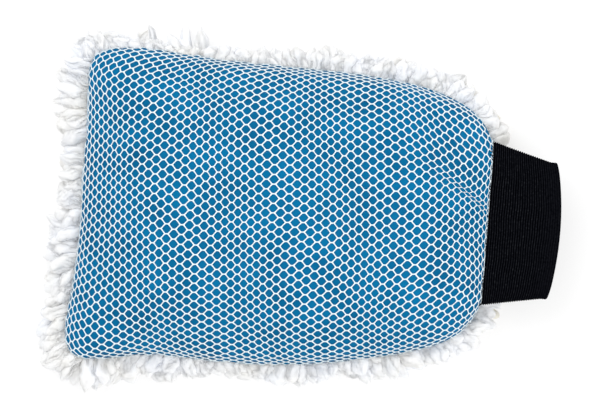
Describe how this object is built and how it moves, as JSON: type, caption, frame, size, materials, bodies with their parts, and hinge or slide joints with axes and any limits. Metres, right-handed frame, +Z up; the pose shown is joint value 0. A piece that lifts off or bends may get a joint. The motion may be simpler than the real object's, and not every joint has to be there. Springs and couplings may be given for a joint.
{
  "type": "wash mitt",
  "caption": "Padded two-sided car wash mitt: netted scrubbing face, shaggy pile face, lined hand pocket and a ribbed elastic wrist cuff that folds at its seam.",
  "frame": {"origin": "centre of the part's footprint, on the surface it lies on", "axes": "+X along the mitt towards the cuff, +Y across it, +Z up from the pile face to the netted face"},
  "size_m": [0.2708, 0.1916, 0.057],
  "materials": {
    "net": "satin",
    "face_fabric": "matte",
    "foam": "matte",
    "lining": "matte",
    "binding": "matte",
    "thread": "satin",
    "pile": "matte",
    "elastic": "matte",
    "elastic_thread": "satin"
  },
  "bodies": {
    "mitt": {"scrub_net": "net", "face_fabric": "face_fabric", "foam_pad": "foam", "pocket_lining_upper": "lining", "pocket_lining_lower": "lining", "seam_binding": "binding", "perimeter_stitching": "thread", "pile_backing": "lining", "pile_field": "pile", "pile_fringe": "pile", "cuff_root": "elastic", "mouth_overlock": "elastic_thread"},
    "cuff": {"cuff_band": "elastic", "cuff_closing_stitches": "elastic_thread"}
  },
  "joints": [
    {"name": "cuff_fold", "type": "hinge", "parent": "mitt", "child": "cuff", "pos_m": [0.09819, -0.00829, 0.024], "axis": [0.0785, 0.9969, 0], "range_deg": [-40, 20], "stiffness_Nm_per_rad": 0.03}
  ]
}
